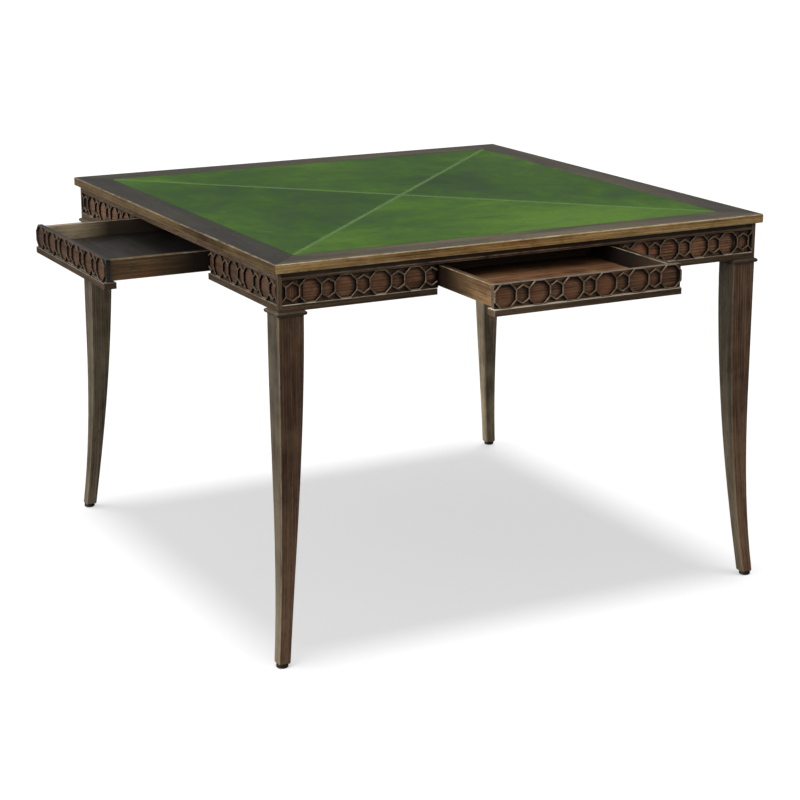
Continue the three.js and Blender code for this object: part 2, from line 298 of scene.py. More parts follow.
def wood(name, tones, roughness=0.42, wear=0.8, grime=0.55, figure=0.3, lift=1.0, wear_run=0.0,
         painted_shade=0.0, painted_shade_run=(0.2, 0.7), blush=0.0, painted_shadow=None):
    """Stained and waxed wood, lighter where its edges have worn.

    tones are its dark, middle, light and worn colours, and lift makes all but the worn one
    lighter or darker, mostly to paint light and shade. The mesh's "grain" attribute says where
    along, across and through the board a point is, and its "edge" attribute is 1 on rounded
    arrises. wear_run leaves whole stretches of the arrises unworn. painted_shade darkens a board
    over painted_shade_run of its "depth" attribute, as painted shade. grime darkens the
    hollows, partly dirt and partly painted shade. blush adds redder patches. painted_shadow is the
    direction from which the carving's ribs would cast a painted shadow onto this wood, its reach,
    and the span of openness over which it clears.
    """
    s = material_shader(name)
    *lifted, worn = tones
    dark, middle, light = (scaled(colour, lift) for colour in lifted)
    grain = s.stored_vector("grain")
    cloud = s.noise(grain, CLOUD_SCALE)
    streak = s.noise(grain, STREAK_SCALE, detail=6, roughness=0.62, distortion=0.35)
    fibre = s.noise(grain, FIBRE_SCALE, detail=2)
    arch = s.bands(grain, ARCH_SCALE, distortion=7, detail=2, detail_scale=0.7)
    patch = s.noise(grain, PATCH_SCALE, detail=4, roughness=0.6)
    fleck = s.noise(grain, FLECK_SCALE, roughness=0.7)

    # Broad clouds, long streaks and a faint arched figure make the board's tone.
    tone = s.plus(s.times(cloud, 0.55), s.times(streak, 0.45))
    tone = s.plus(tone, s.times(s.math("SUBTRACT", arch, 0.5), 0.22 * figure))
    colour = s.ramp(tone, [(0.4, dark), (0.5, middle), (0.62, light)])

    # Dark pores and flecks, and a few paler patches, lie over it.
    pores = s.span(fibre, 0.54, 0.7)
    colour = s.blend(s.times(pores, 0.5), colour, scaled(dark, 0.7))
    colour = s.blend(s.span(fleck, 0.55, 0.68, 0.0, 0.75), colour, scaled(dark, 0.45))
    colour = s.blend(s.span(patch, 0.42, 0.7, 0.0, 0.4), colour, light)
    if blush:
        warm = s.noise(grain, BLUSH_SCALE, roughness=0.6)
        colour = s.blend(s.span(warm, 0.52, 0.66, 0.0, blush), colour, scaled(BLUSH, lift))
    # Painted shade: darker over part of the board's depth, where the table shades it.
    if painted_shade:
        depth = s.stored_number("depth")
        start, end = painted_shade_run
        colour = s.blend(s.span(depth, start, end, 0.0, painted_shade), colour, scaled(dark, PAINTED_SHADE_SHARE))

    # The arrises are paler, partly worn and partly painted highlight. The hollows are darkened,
    # partly dirt and partly painted shade, and a painted shadow lies at one end and the top of each
    # hole.
    wear_and_highlight = s.span(s.noise(grain, RUBBED_SCALE, detail=5, roughness=0.7), 0.36, 0.6)
    wear_and_highlight = s.times(s.times(s.stored_number("edge"), wear_and_highlight), wear)
    if wear_run:
        stretch = s.noise(grain, WEAR_RUN_SCALE, detail=2)
        wear_and_highlight = s.times(wear_and_highlight, s.span(stretch, 0.44, 0.56, 1.0 - wear_run, 1.0))
    colour = s.blend(wear_and_highlight, colour, worn)
    open_air = s.hollow(DIRT_AND_SHADE_REACH, 0.45, 0.85)
    colour = s.blend(s.times(s.math("SUBTRACT", 1.0, open_air), grime), colour, DIRT_AND_SHADE)
    if painted_shadow:
        towards, reach, (low, high) = painted_shadow
        shelter = s.lee(towards, reach, low, high)
        colour = s.blend(s.math("SUBTRACT", 1.0, shelter), colour, PAINTED_SHADOW_COLOUR)

    shine = s.span(patch, 0.3, 0.75, roughness - 0.07, roughness + 0.09)
    relief = s.plus(s.times(streak, 0.6), s.times(fibre, -0.5))
    return s.finish({
        "Base Color": colour,
        "Roughness": s.plus(shine, s.times(pores, 0.16)),
        "Normal": s.bump(relief, GRAIN_RELIEF, 0.55),
        "Coat Weight": 0.08,
        "Coat Roughness": 0.3,
        "Specular IOR Level": 0.38,
    })


# The worn arrises too are painted lighter on some sides than others, as lit and shaded copies.
WORN_LIGHT_BY_SIDE = {"front": 1.4, "right": 0.8, "back": 1.0, "left": 0.45}
# The painted shadow in the carving: how far it reaches and the openness over which it clears.
PAINTED_SHADOW_REACH = {"front": 11 * MM, "right": 9 * MM, "back": 9 * MM, "left": 7 * MM}
PAINTED_SHADOW_SPAN = {"front": (0.64, 0.92), "right": (0.55, 0.85), "back": (0.55, 0.85), "left": (0.5, 0.8)}
PAINTED_SHADOW_LEAN = 1.8                    # how far the painted shadow's direction leans along the side
PAINTED_SHADOW_RISE = 0.7                    # and how far upwards


def painted_shadow_of(side):
    """The painted shadow in the carving on one side: it lies at one end and the top of each hole."""
    towards = FAR_END[side] * PAINTED_SHADOW_LEAN + UP * PAINTED_SHADOW_RISE
    return (towards, PAINTED_SHADOW_REACH[side], PAINTED_SHADOW_SPAN[side])


def lit_and_shaded_wood(name, lifts, tones, with_painted_shadow=False, **look):
    """One wood for each side, painted lighter on some sides than others as lit and shaded copies."""
    made = {}
    *lifted, worn = tones
    for side in SIDES:
        made[side] = wood(
            f"{name}_{side}", [*lifted, scaled(worn, WORN_LIGHT_BY_SIDE[side])], lift=lifts[side],
            painted_shadow=painted_shadow_of(side) if with_painted_shadow else None, **look,
        )
    return made


def tones_of(*colours):
    """A wood's dark, middle, light and worn colours, from display values."""
    return [linear(*colour) for colour in colours]


RAIL_TONES = tones_of((48, 41, 29), (75, 66, 46), (102, 91, 64), (215, 203, 180))
EDGE_TONES = tones_of((96, 70, 36), (150, 118, 70), (194, 160, 106), (205, 188, 160))
GREY_LEG_TONES = tones_of((68, 59, 47), (104, 92, 73), (134, 121, 99), (150, 136, 110))
RED_LEG_TONES = tones_of((62, 43, 30), (101, 75, 55), (134, 105, 80), (130, 112, 90))
FRET_TONES = tones_of((68, 49, 34), (105, 81, 58), (142, 116, 88), (190, 168, 138))
LEDGE_TONES = tones_of((150, 136, 112), (188, 174, 148), (212, 200, 176), (220, 208, 184))
GROUND_TONES = tones_of((62, 38, 25), (110, 76, 52), (146, 106, 76), (128, 96, 66))
COLLAR_TONES = tones_of((48, 38, 30), (74, 62, 50), (98, 84, 68), (134, 116, 94))
SHADOW_TONES = tones_of((30, 29, 27), (46, 44, 42), (66, 63, 58), (130, 122, 108))
LIT_RIM_TONES = tones_of((84, 70, 54), (120, 104, 84), (150, 134, 112), (205, 190, 166))
DRAWER_TONES = tones_of((70, 50, 32), (112, 86, 56), (150, 120, 82), (186, 162, 128))
PALE_TONES = tones_of((122, 104, 80), (168, 148, 119), (202, 182, 151), (216, 199, 172))
RED_BOTTOM_TONES = tones_of((70, 45, 30), (112, 78, 52), (146, 110, 76), (110, 98, 84))
GREY_BOTTOM_TONES = tones_of((36, 32, 28), (58, 53, 47), (78, 72, 64), (110, 98, 84))
CORE_TONES = tones_of((54, 40, 28), (78, 60, 42), (102, 82, 60), (120, 98, 72))

# How much lighter or darker each wood is painted on each side of the table, or at each leg:
# painted light and shade, lit and shaded copies of one wood.
RAIL_LIFT = {"front": 1.5, "right": 0.9, "back": 0.95, "left": 0.42}
EDGE_LIFT = {"front": 1.3, "right": 0.5, "back": 0.9, "left": 0.34}
FRET_LIFT = {"front": 0.95, "right": 0.6, "back": 1.0, "left": 0.42}
GROUND_LIFT = {"front": 2.3, "right": 0.9, "back": 1.5, "left": 0.75}
MOULDING_LIFT = {"front": 0.62, "right": 0.5, "back": 0.8, "left": 0.4}
FRIEZE_LIFT = {"front": 0.4, "right": 0.4, "back": 0.6, "left": 0.62}
LEDGE_LIFT = {"front": 1.6, "right": 0.6, "back": 0.9, "left": 0.4}
DRAWER_GROUND_LIFT = {"front": 1.1, "right": 0.6, "back": 1.0, "left": 0.45}
LEG_LEFT_LIFT = {"front_left": 1.1, "front_right": 1.0, "back_right": 3.0, "back_left": 1.15}
LEG_FRONT_LIFT = {"front_left": 1.25, "front_right": 1.6, "back_right": 2.6, "back_left": 2.0}
LEG_FAR_LIFT = 1.3

# The legs are painted darker towards their tops, as shade under the table.
LEG_LOOK = {"grime": 0.3, "painted_shade": 0.2, "painted_shade_run": (0.0, 0.8)}
GROUND_LOOK = {"roughness": 0.5, "grime": 0.6, "figure": 0.5, "blush": 0.4, "with_painted_shadow": True}
# The apron boards are painted darker towards the end opposite FAR_END, as shade.
APRON_PAINTED_SHADE = {"painted_shade": 0.4, "painted_shade_run": (0.3, 0.55)}
# The rails are painted darker near their ends opposite FAR_END, as shade.
RAIL_LOOK = {
    "roughness": 0.38, "grime": 0.35, "wear": 1.0, "wear_run": 0.75,
    "painted_shade": 0.4, "painted_shade_run": (0.84, 1.0),
}

# The top
rail_wood = lit_and_shaded_wood("rail_wood", RAIL_LIFT, RAIL_TONES, **RAIL_LOOK)
edge_wood = lit_and_shaded_wood("rail_edge_wood", EDGE_LIFT, EDGE_TONES, grime=0.25)
core_wood = wood("core_wood", CORE_TONES, roughness=0.7, grime=0.4)

# The legs, redder on the two front faces than elsewhere. At each corner the faces that look to
# the front and to the left are lit and shaded copies, painted lighter where the table shades them.
leg_left_wood = {}
leg_front_wood = {}
for corner in CORNERS:
    leg_left_wood[corner] = wood(
        "leg_left_wood_" + corner, GREY_LEG_TONES, lift=LEG_LEFT_LIFT[corner], **LEG_LOOK
    )
    leg_front_wood[corner] = wood(
        "leg_front_wood_" + corner, RED_LEG_TONES if corner.startswith("front") else GREY_LEG_TONES,
        lift=LEG_FRONT_LIFT[corner], **LEG_LOOK,
    )
leg_far_wood = wood("leg_far_wood", RED_LEG_TONES, lift=LEG_FAR_LIFT, **LEG_LOOK)
collar_wood = wood("collar_wood", COLLAR_TONES, grime=0.6)

# The carving and the boards behind it. The band under the top's overhang is painted darker, as
# shade, and the top of the base moulding is painted pale, partly worn and partly painted highlight.
fret_wood = lit_and_shaded_wood("fret_wood", FRET_LIFT, FRET_TONES, roughness=0.44, wear_run=0.5, grime=0.6)
moulding_wood = lit_and_shaded_wood("moulding_wood", MOULDING_LIFT, FRET_TONES, wear_run=0.5, grime=0.6)
frieze_wood = lit_and_shaded_wood("frieze_wood", FRIEZE_LIFT, FRET_TONES, wear_run=0.8, grime=0.9)
ledge_wood = lit_and_shaded_wood("ledge_wood", LEDGE_LIFT, LEDGE_TONES, grime=0.2)
ground_wood = lit_and_shaded_wood("ground_wood", GROUND_LIFT, GROUND_TONES, **APRON_PAINTED_SHADE, **GROUND_LOOK)
drawer_ground_wood = lit_and_shaded_wood(
    "drawer_ground_wood", DRAWER_GROUND_LIFT, GROUND_TONES, **GROUND_LOOK
)

# The rims and ends of the drawer fronts: painted shade on all but the front drawer, whose top
# rim is painted lighter as lit, with pale worn arrises.
shadow_wood = wood("drawer_front_edge_wood", SHADOW_TONES, roughness=0.4, grime=0.4)
lit_rim_wood = wood("drawer_front_lit_rim_wood", LIT_RIM_TONES, roughness=0.4, grime=0.4)
drawer_end_wood = wood("drawer_end_wood", GREY_LEG_TONES, lift=0.75, grime=0.4)

# The drawer boxes, painted darker towards the inside of the table, as shade, and in lighter and
# darker copies for boards that catch more or less light.
drawer_wood = wood(
    "drawer_wood", DRAWER_TONES, roughness=0.5, lift=1.6, painted_shade=0.97, painted_shade_run=(0.05, 0.6), blush=0.2
)
near_drawer_wood = wood(
    "near_drawer_wood", DRAWER_TONES, roughness=0.5, lift=0.75, painted_shade=0.97, painted_shade_run=(0.25, 0.6),
    blush=0.5,
)
pale_drawer_wood = wood(
    "pale_drawer_wood", PALE_TONES, roughness=0.5, lift=1.3, painted_shade=0.98, painted_shade_run=(0.18, 0.48)
)
dim_drawer_wood = wood(
    "dim_drawer_wood", DRAWER_TONES, roughness=0.5, lift=0.28, painted_shade=0.95, painted_shade_run=(0.0, 0.45)
)
red_bottom_wood = wood(
    "drawer_bottom_red_wood", RED_BOTTOM_TONES, roughness=0.5, grime=0.4, lift=2.2,
    painted_shade=0.9, painted_shade_run=(0.62, 1.0),
)
grey_bottom_wood = wood(
    "drawer_bottom_grey_wood", GREY_BOTTOM_TONES, roughness=0.5, grime=0.5,
    painted_shade=0.9, painted_shade_run=(0.3, 0.65),
)

# ---------------------------------------------------------------- other materials

WALL_SPECK_SCALE = (160, 160, 160)


def dark_carved_walls():
    """The carved walls coloured near black, painted paler where a wall faces up: painted highlight.
    """
    s = material_shader("carved_wall_dark_with_painted_highlight")
    speck = s.noise(s.stored_vector("grain"), WALL_SPECK_SCALE, detail=4)
    colour = s.blend(speck, linear(7, 5, 4), linear(20, 14, 10))
    facing = s.add("ShaderNodeSeparateXYZ", {"Vector": s.normal()})
    # Painted highlight: walls that face up are paler, as if lit from above.
    ledge = s.span(facing.outputs["Z"], 0.8, 0.95)
    wear_and_highlight = s.times(ledge, s.span(speck, 0.3, 0.6, 0.5, 1.0))
    return s.finish({
        "Base Color": s.blend(wear_and_highlight, colour, linear(176, 160, 132)),
        "Roughness": 0.75,
        "Normal": s.bump(speck, 0.2 * MM, 0.5),
        "Specular IOR Level": 0.15,
    })


# Where the leather is coloured darker or brighter: place from the table's centre, reach, amount.
# The brighter patches near the front and the corners are painted highlight.
LEATHER_PATCHES = [
    ((0.14, 0.12), 0.34, -0.10),
    ((0.02, 0.33), 0.26, -0.03),
    ((-0.30, -0.20), 0.26, -0.02),
    ((0.16, -0.44), 0.36, 0.09),
    ((0.46, -0.40), 0.30, 0.06),
    ((-0.46, 0.44), 0.28, 0.09),
    ((0.46, 0.36), 0.24, 0.08),
    ((-0.44, -0.44), 0.18, 0.035),
]
PATCH_STRENGTH = 1.6
LEATHER_LIFT = {"front": 0.08, "right": -0.02, "back": 0.0, "left": -0.01}
LEATHER_STOPS = [
    (0.30, linear(40, 70, 34)),
    (0.42, linear(52, 88, 28)),
    (0.52, linear(66, 106, 25)),
    (0.62, linear(84, 126, 30)),
    (0.74, linear(100, 142, 40)),
]
MOTTLE = linear(44, 80, 28)
LEATHER_RIM = linear(40, 62, 26)
SWEEP_SCALE = (2.6, 3.0, 3.0)
LEATHER_CLOUD_SCALE = (13, 17, 17)
MOTTLE_SCALE = (70, 70, 70)
PEBBLE_SCALE = (1150, 1150, 1150)
CREASE_SCALE = (420, 420, 420)
LEATHER_RELIEF = 0.12 * MM


def leather(name, lift):
    """Hand-coloured green leather: cloudy tone, fine pebbled grain, waxed shine, painted highlight.
    """
    s = material_shader(name)
    place = s.stored_vector("grain")
    spot = s.stored_vector("spot")
    sweep = s.noise(place, SWEEP_SCALE, distortion=0.4)
    cloud = s.noise(place, LEATHER_CLOUD_SCALE, detail=6, roughness=0.66, distortion=0.7)
    mottle = s.noise(place, MOTTLE_SCALE, detail=4)
    tone = s.plus(s.times(sweep, 0.36), s.times(cloud, 0.5))
    tone = s.plus(tone, 0.07 + lift)
    for (x, y), reach, amount in LEATHER_PATCHES:
        away = s.vector("DISTANCE", spot, (x, y, 0))
        near = s.span(away.outputs["Value"], 0.0, reach, 1.0, 0.0)
        tone = s.plus(tone, s.times(s.times(near, near), amount * PATCH_STRENGTH))
    colour = s.ramp(tone, LEATHER_STOPS)
    colour = s.blend(s.span(mottle, 0.4, 0.7, 0.0, 0.22), colour, MOTTLE)
    colour = s.blend(s.times(s.stored_number("edge"), 0.6), colour, LEATHER_RIM)

    pebble = s.cells(place, PEBBLE_SCALE, smoothness=0.3)
    crease = s.cells(place, CREASE_SCALE)
    relief = s.plus(s.times(pebble, 0.7), s.times(crease, 0.3))
    relief = s.plus(relief, s.times(cloud, 2.5))
    return s.finish({
        "Base Color": colour,
        "Roughness": s.span(cloud, 0.3, 0.7, 0.4, 0.55),
        "Normal": s.bump(relief, LEATHER_RELIEF, 0.35),
        "Specular IOR Level": 0.2,
    })


TWIST_SCALE = (1400, 1400, 1400)
THREAD_FADE_SCALE = (40, 40, 40)


def thread(name, low, high):
    """Waxed thread with a fine twist."""
    s = material_shader(name)
    place = s.stored_vector("grain")
    twist = s.bands(place, TWIST_SCALE, distortion=1.5)
    colour = s.blend(s.noise(place, THREAD_FADE_SCALE, detail=2), low, high)
    return s.finish({
        "Base Color": s.blend(s.span(twist, 0.2, 0.8, 0.0, 0.35), colour, low),
        "Roughness": 0.55,
        "Normal": s.bump(twist, 0.06 * MM, 0.6),
    })


PLASTIC_SPECK_SCALE = (700, 700, 700)
SCUFF_SCALE = (90, 90, 400)


def moulded_plastic():
    """Dark moulded plastic, scuffed where it slides."""
    s = material_shader("glide_plastic")
    place = s.stored_vector("grain")
    speck = s.noise(place, PLASTIC_SPECK_SCALE)
    scuff = s.noise(place, SCUFF_SCALE, detail=4, roughness=0.7)
    colour = s.blend(speck, linear(30, 27, 25), linear(48, 44, 41))
    exposed = s.plus(s.times(s.stored_number("edge"), 0.7), 0.1)
    wear_and_highlight = s.times(s.span(scuff, 0.5, 0.65), exposed)
    return s.finish({
        "Base Color": s.blend(wear_and_highlight, colour, linear(96, 90, 84)),
        "Roughness": s.span(scuff, 0.3, 0.7, 0.42, 0.62),
        "Normal": s.bump(speck, 0.05 * MM, 0.5),
    })


dark_wall_material = dark_carved_walls()
green_leather = {side: leather("green_leather_" + side, LEATHER_LIFT[side]) for side in SIDES}
seam_leather = thread("seam_leather", linear(82, 122, 50), linear(124, 160, 80))
stitch_thread = thread("stitch_thread", linear(82, 122, 50), linear(130, 164, 90))
glide_plastic = moulded_plastic()

# ---------------------------------------------------------------- mesh helpers

SAME_PLACE = 0.005 * MM
FLAT_ANGLE = math.radians(0.2)
SHARP_ANGLE = math.radians(25)      # edges sharper than this are rounded
SMOOTH_ANGLE = math.radians(40)     # edges sharper than this look sharp
MITRE_TOLERANCE = 0.05
GRAIN_SHIFT = 3                     # metres of grain that each board's place is drawn from


def shade(mesh):
    """Smooth shading that stops at sharp edges."""
    mesh.polygons.foreach_set("use_smooth", [True] * len(mesh.polygons))
    mesh.set_sharp_from_angle(angle=SMOOTH_ANGLE)


def read(items, name, width=1, kind=np.float64):
    """One number, or one row of numbers, for each of a mesh's items."""
    values = np.zeros(len(items) * width, kind)
    items.foreach_get(name, values)
    return values.reshape(-1, width) if width > 1 else values


def store(mesh, name, values):
    """Stores a number or a vector for each face corner."""
    kind, field = ("FLOAT", "value") if values.ndim == 1 else ("FLOAT_VECTOR", "vector")
    attribute = mesh.attributes.new(name, kind, "CORNER")
    attribute.data.foreach_set(field, values.astype(np.float32).ravel())


def corner_facts(mesh):
    """The place of every face corner, and the face it belongs to."""
    vertex = read(mesh.loops, "vertex_index", kind=np.int32)
    totals = read(mesh.polygons, "loop_total", kind=np.int32)
    places = read(mesh.vertices, "co", 3)
    return places[vertex], np.repeat(np.arange(len(totals)), totals)


def face_facts(mesh):
    """The middle and the normal of every face."""
    return read(mesh.polygons, "center", 3), read(mesh.polygons, "normal", 3)


def looking(normals, direction, least=0.5):
    """Which faces look in a direction: at least this much of their normal lies along it."""
    return normals @ np.array(direction) > least


def lay_grain(mesh, along, upright=None, curve=None):
    """Stores where each corner is along, across and through its board.

    along is the axis that the board's grain follows. upright says which faces have their
    grain along Z instead. curve moves points first, so that grain follows a bent leg.
    """
    points, faces = corner_facts(mesh)
    if curve:
        points = curve(points)
    order = [along] + [axis for axis in (2, 0, 1) if axis != along]
    grain = points[:, order]
    if upright is not None:
        rows = upright[faces]
        grain[rows] = points[rows][:, [2, 0, 1]]
    store(mesh, "grain", grain + [chance.uniform(0, GRAIN_SHIFT) for _ in range(3)])


def mark_edges(mesh, marked):
    """Stores 1 on the corners of marked faces and 0 elsewhere."""
    _, faces = corner_facts(mesh)
    store(mesh, "edge", marked[faces])


def mark_depth(mesh, start):
    """Stores 0 at the board's end that lies furthest towards start, and 1 at its other end."""
    points, _ = corner_facts(mesh)
    outward = points @ np.array(start)
    store(mesh, "depth", (outward.max() - outward) / (outward.max() - outward.min()))


def add_object(name, data):
    """A new object in the scene: a mesh, a lamp or a camera."""
    made = bpy.data.objects.new(name, data)
    bpy.context.scene.collection.objects.link(made)
    return made


def is_mitre(face):
    """Whether a face is an upright joint face at 45 degrees to the table's sides."""
    slant = abs(abs(face.normal.x) - abs(face.normal.y))
    return slant < MITRE_TOLERANCE and abs(face.normal.z) < MITRE_TOLERANCE


def refined(node, round_by, segments=2, whole_faces=True):
    """A CAD node's shape with its arrises rounded. Returns the mesh and which faces are arrises.

    whole_faces joins the triangles of each flat face first, which suits plain boards. The
    edges of a rail's mitred ends stay sharp, so that the joints close.
    """
    shape = bmesh.new()
    shape.from_mesh(frame["nodes"][node].data)
    bmesh.ops.remove_doubles(shape, verts=shape.verts, dist=SAME_PLACE)
    if whole_faces:
        bmesh.ops.dissolve_limit(
            shape, angle_limit=FLAT_ANGLE, verts=shape.verts, edges=shape.edges, delimit=set()
        )
    sharp = [e for e in shape.edges if e.is_manifold and e.calc_face_angle() > SHARP_ANGLE]
    if node.startswith("top_rail"):
        sharp = [e for e in sharp if not any(is_mitre(face) for face in e.link_faces)]
    made = bmesh.ops.bevel(
        shape, geom=sharp, offset=round_by, offset_type="OFFSET", segments=segments,
        profile=0.5, affect="EDGES", clamp_overlap=False,
    )
    for face in shape.faces:
        face.select = False
    for face in made["faces"]:
        face.select = True
    bmesh.ops.recalc_face_normals(shape, faces=shape.faces)
    mesh = bpy.data.meshes.new("finished_" + node)
    shape.to_mesh(mesh)
    shape.free()
    arris = np.array([face.select for face in mesh.polygons])
    return mesh, arris


def paint(mesh, base, *patches):
    """Gives the mesh its base material, and each patch's material to the faces it marks."""
    mesh.materials.append(base)
    choice = np.zeros(len(mesh.polygons), np.int32)
    for number, (material, marked) in enumerate(patches, start=1):
        mesh.materials.append(material)
        choice[marked] = number
    mesh.polygons.foreach_set("material_index", choice)


finished = {}


def place_piece(node, mesh):
    """The finished piece for a CAD node: on its body, in its place."""
    shade(mesh)
    piece = add_object("finished_" + node, mesh)
    smoother = piece.modifiers.new("even_shading", "WEIGHTED_NORMAL")
    smoother.keep_sharp = True
    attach(piece, BODY_OF_NODE[node])
    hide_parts(node)
    finished[node] = piece
    return piece


def board(node, along, material, round_by=1 * MM, depth_from=None):
    """A plain board: rounded arrises, one wood, its grain along one axis.

    depth_from is the direction of the end where the depth attribute starts.
    """
    mesh, arris = refined(node, round_by)
    lay_grain(mesh, along)
    mark_edges(mesh, arris)
    if depth_from:
        mark_depth(mesh, depth_from)
    paint(mesh, material)
    place_piece(node, mesh)


# ---------------------------------------------------------------- top

RAIL_ROUND = 2.2 * MM
LEATHER_ROUND = 0.7 * MM


def top_rail(side):
    """A mitred border board. Its outer edge shows paler wood than its face."""
    node = "top_rail_" + side
    mesh, arris = refined(node, RAIL_ROUND, segments=3)
    _, normals = face_facts(mesh)
    out = OUTWARD[side]
    lay_grain(mesh, long_axis(side))
    mark_edges(mesh, arris & looking(normals, UP, -0.3) & looking(normals, out, 0.2))
    mark_depth(mesh, FAR_END[side])
    paint(mesh, rail_wood[side], (edge_wood[side], looking(normals, out)))
    place_piece(node, mesh)


def leather_panel(side):
    """One of the four triangles of leather, its cut edges turned down a little."""
    node = "leather_panel_" + side
    mesh, arris = refined(node, LEATHER_ROUND, segments=3)
    lay_grain(mesh, long_axis(side))
    mark_edges(mesh, arris)
    points, _ = corner_facts(mesh)
    store(mesh, "spot", points - np.array([CENTRE.x, CENTRE.y, LEATHER_TOP]))
    paint(mesh, green_leather[side])
    piece = place_piece(node, mesh)


for name in SIDES:
    top_rail(name)
    leather_panel(name)
board("top_core", 0, core_wood)

# Seams and stitches: a narrow lapped band on each diagonal, sewn down along both its sides.
SEAM_WIDTH = 7.5 * MM
SEAM_RISE = 0.25 * MM
SEAM_FOOT = LEATHER_TOP + 0.02 * MM
SEAM_BURIED = 0.15 * MM             # how far the band's underside lies below its foot
SEAM_START = 0.2                    # of its width, from the middle of the top
SEAM_INSET = 0.3 * MM               # gap to the border at the corners
SEAM_STEPS = 120
SEAM_PARTS = 6
STITCH_PITCH = 4.4 * MM
STITCH_LENGTH = 3.1 * MM
STITCH_WIDTH = 1.0 * MM
STITCH_RISE = 0.25 * MM
STITCH_OUT = 6.2 * MM               # from the middle of the seam
STITCH_WANDER = 0.12 * MM           # how far a stitch may stray from its line
STITCH_RINGS = 6
STITCH_SPOKES = 8


def sideways(run):
    """The level direction square to a level run."""
    return Vector((-run.y, run.x, 0))


def strip(shape, start, end):
    """A low crowned band between two points on the leather, closed underneath."""
    aside = sideways((end - start).normalized())
    rows = []
    for step in range(SEAM_STEPS + 1):
        middle = start.lerp(end, step / SEAM_STEPS)
        row = []
        for part in range(SEAM_PARTS + 1):
            share = part / SEAM_PARTS * 2 - 1
            height = SEAM_FOOT + SEAM_RISE * math.sqrt(max(0.0, 1 - share**4))
            place = middle + aside * (share * SEAM_WIDTH / 2)
            row.append(shape.verts.new((place.x, place.y, height)))
        for share in (1, -1):
            place = middle + aside * (share * SEAM_WIDTH / 2)
            row.append(shape.verts.new((place.x, place.y, SEAM_FOOT - SEAM_BURIED)))
        rows.append(row)
    for before, after in zip(rows, rows[1:]):
        for i in range(len(before)):
            j = (i + 1) % len(before)
            shape.faces.new((before[i], after[i], after[j], before[j]))
    shape.faces.new(rows[0])
    shape.faces.new(list(reversed(rows[-1])))


def stitch(shape, place, run):
    """One stitch: a short thread that rises out of the leather and dives back."""
    aside = sideways(run)
    rows = []
    for ring in range(1, STITCH_RINGS):
        turn = math.pi * ring / STITCH_RINGS
        centre = place + run * (-math.cos(turn) * STITCH_LENGTH / 2)
        girth = math.sin(turn) ** 0.6
        row = []
        for spoke in range(STITCH_SPOKES):
            angle = 2 * math.pi * spoke / STITCH_SPOKES
            out = aside * (math.cos(angle) * girth * STITCH_WIDTH / 2)
            height = LEATHER_TOP + math.sin(angle) * girth * STITCH_RISE
            row.append(shape.verts.new((centre.x + out.x, centre.y + out.y, height)))
        rows.append(row)
    tips = []
    for direction in (-1, 1):
        tip = place + run * (direction * STITCH_LENGTH / 2)
        tips.append(shape.verts.new((tip.x, tip.y, LEATHER_TOP)))
    for before, after in zip(rows, rows[1:]):
        for i in range(STITCH_SPOKES):
            j = (i + 1) % STITCH_SPOKES
            shape.faces.new((before[i], before[j], after[j], after[i]))
    for i in range(STITCH_SPOKES):
        j = (i + 1) % STITCH_SPOKES
        shape.faces.new((tips[0], rows[0][j], rows[0][i]))
        shape.faces.new((tips[1], rows[-1][i], rows[-1][j]))


def sewn_piece(name, shape, material):
    """A piece made from scratch on the leather."""
    bmesh.ops.recalc_face_normals(shape, faces=shape.faces)
    mesh = bpy.data.meshes.new(name)
    shape.to_mesh(mesh)
    shape.free()
    lay_grain(mesh, 0)
    mark_edges(mesh, np.zeros(len(mesh.polygons), bool))
    paint(mesh, material)
    shade(mesh)
    piece = add_object(name, mesh)
    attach(piece, "table")


def seam(corner):
    """The seam band from the middle of the top to one corner, and the stitches along it."""
    side_y, side_x = corner.split("_")
    run = (OUTWARD[side_y] + OUTWARD[side_x]).normalized()
    aside = sideways(run)
    reach = (LEATHER_HALF - SEAM_INSET) * math.sqrt(2) - SEAM_WIDTH / 2
    shape = bmesh.new()
    strip(shape, CENTRE + run * SEAM_WIDTH * SEAM_START, CENTRE + run * reach)
    sewn_piece("seam_band_" + corner, shape, seam_leather)

    shape = bmesh.new()
    first = STITCH_OUT + 2 * MM
    count = int((reach - STITCH_OUT - first) / STITCH_PITCH)
    for number in range(count):
        along = first + number * STITCH_PITCH
        for direction in (-1, 1):
            wander = chance.uniform(-STITCH_WANDER, STITCH_WANDER)
            place = CENTRE + run * along + aside * (direction * STITCH_OUT + wander)
            stitch(shape, place, run)
    sewn_piece("seam_stitches_" + corner, shape, stitch_thread)


for name in CORNERS:
    seam(name)

# ---------------------------------------------------------------- legs

LEG_ROUND = 1.6 * MM
SMALL_ROUND = 0.4 * MM              # on the collars and glides


def straightener(node):
    """A function that moves points of a leg sideways, as if its sweep were bent straight."""
    source = np.array([v.co for v in frame["nodes"][node].data.vertices])
    levels = np.unique(np.round(source[:, 2], 4))
    starts = [source[np.abs(source[:, 2] - z) < 1 * MM][:, :2].min(axis=0) for z in levels]
    starts = np.array(starts)

    def straightened(points):
        moved = points.copy()
        for axis in (0, 1):
            moved[:, axis] -= np.interp(points[:, 2], levels, starts[:, axis])
        return moved

    return straightened


